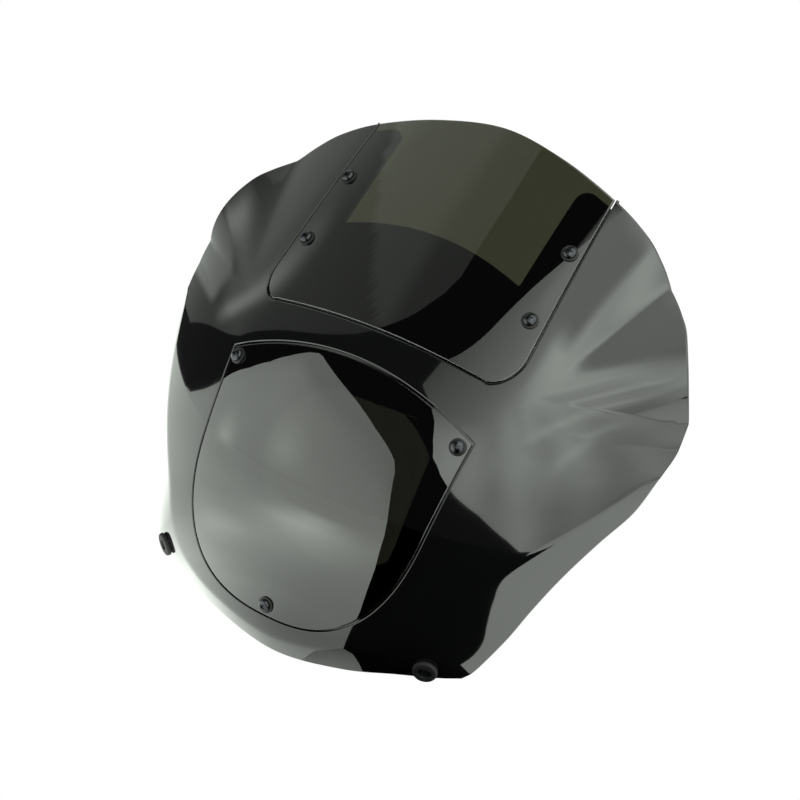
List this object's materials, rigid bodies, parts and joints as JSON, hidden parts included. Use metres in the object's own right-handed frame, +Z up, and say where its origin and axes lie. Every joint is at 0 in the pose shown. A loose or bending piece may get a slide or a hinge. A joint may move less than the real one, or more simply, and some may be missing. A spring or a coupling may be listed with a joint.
{
  "type": "motorcycle headlamp fairing with windscreen",
  "caption": "Gloss black motorcycle headlamp fairing with ear-shaped sides, a smoked windscreen and a smoked lamp cover screwed flush into it, and sleeved rubber mounting grommets.",
  "frame": {"origin": "centre of the oval headlamp opening in the shell", "axes": "-Y points forward, out of the headlamp opening; +Z is up as fitted; X runs across, with the shell symmetrical about X = 0"},
  "size_m": [0.443, 0.1248, 0.4139],
  "materials": {
    "shell_black": "gloss",
    "smoke_sheet": "clear smoke gloss",
    "screw_black": "black zinc",
    "washer_black": "satin",
    "nut_zinc": "zinc plated",
    "grommet_rubber": "matte",
    "sleeve_steel": "zinc plated"
  },
  "bodies": {
    "root": {"fairing_shell": "shell_black", "windscreen": "smoke_sheet", "headlamp_lens": "smoke_sheet", "windscreen_screw_upper_left": "screw_black", "windscreen_washer_upper_left": "washer_black", "windscreen_nut_upper_left": "nut_zinc", "windscreen_screw_upper_right": "screw_black", "windscreen_washer_upper_right": "washer_black", "windscreen_nut_upper_right": "nut_zinc", "windscreen_screw_lower_left": "screw_black", "windscreen_washer_lower_left": "washer_black", "windscreen_nut_lower_left": "nut_zinc", "windscreen_screw_lower_right": "screw_black", "windscreen_washer_lower_right": "washer_black", "windscreen_nut_lower_right": "nut_zinc", "lens_screw_left": "screw_black", "lens_washer_left": "washer_black", "lens_nut_left": "nut_zinc", "lens_screw_right": "screw_black", "lens_washer_right": "washer_black", "lens_nut_right": "nut_zinc", "lens_screw_bottom": "screw_black", "lens_washer_bottom": "washer_black", "lens_nut_bottom": "nut_zinc", "mount_grommet_left": "grommet_rubber", "mount_sleeve_left": "sleeve_steel", "mount_grommet_right": "grommet_rubber", "mount_sleeve_right": "sleeve_steel"}
  },
  "joints": []
}
